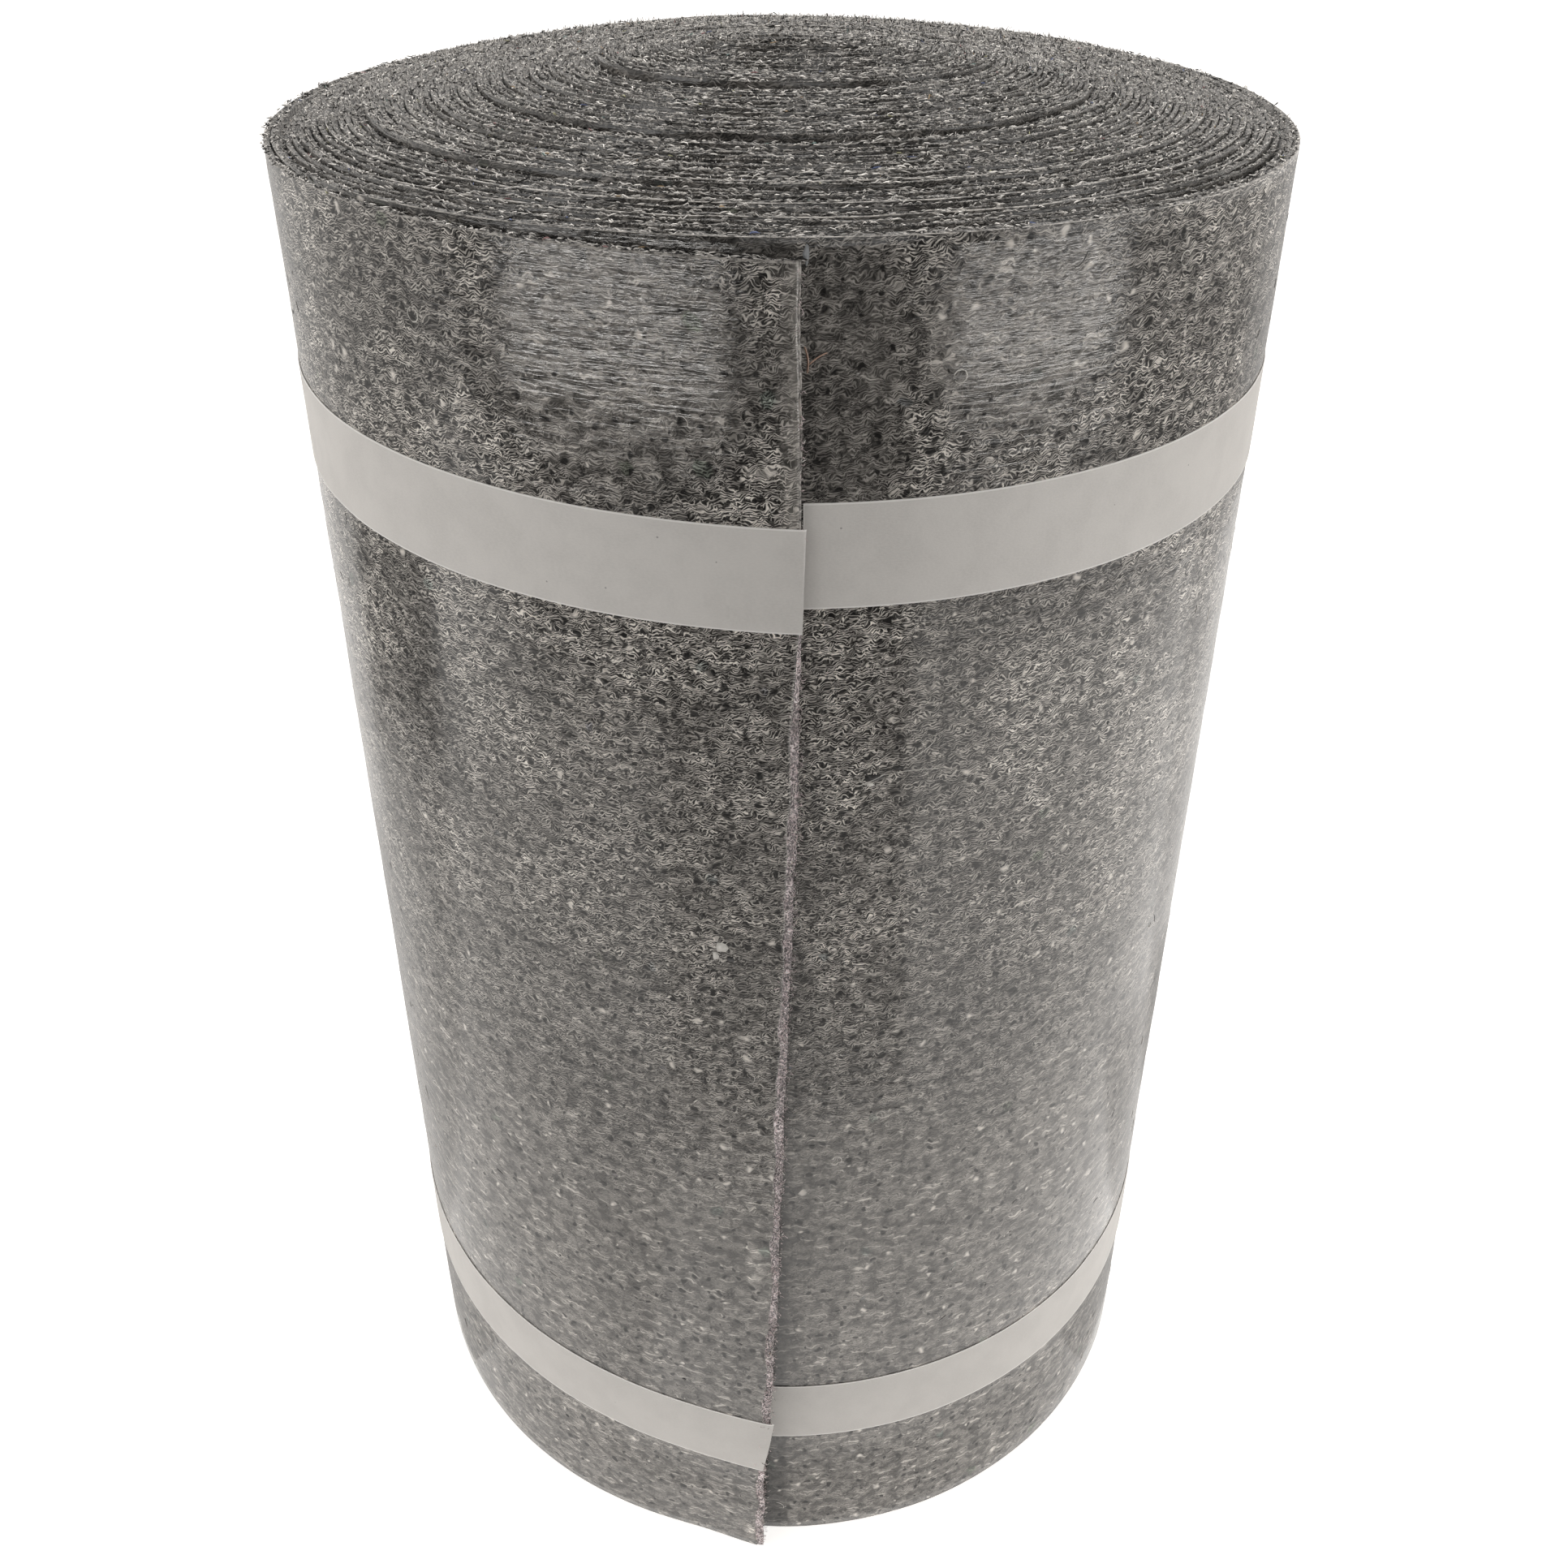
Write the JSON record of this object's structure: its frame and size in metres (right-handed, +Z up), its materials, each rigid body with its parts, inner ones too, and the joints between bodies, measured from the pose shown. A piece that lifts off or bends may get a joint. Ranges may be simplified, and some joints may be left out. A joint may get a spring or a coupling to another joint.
{
  "type": "roll of painters fleece",
  "caption": "Thick coreless roll of grey painters fleece standing on end, glossy film outside, with pale liner-covered tape strips near both edges and a loose cut end at the front.",
  "frame": {"origin": "on the roll's axis, at its underside", "axes": "+Z up along the roll's axis, -Y towards the loose cut end, +X to the right of it"},
  "size_m": [0.3983, 0.4145, 0.6725],
  "materials": {
    "wound_felt": "fibrous grey recycled felt, cut edges fuzzy",
    "filmed_felt": "grey recycled felt under clear glossy film",
    "liner_paper": "smooth warm off-white release paper"
  },
  "bodies": {
    "root": {"wound_roll": "wound_felt", "loose_end": "filmed_felt", "upper_strip": "liner_paper", "lower_strip": "liner_paper"}
  },
  "joints": []
}
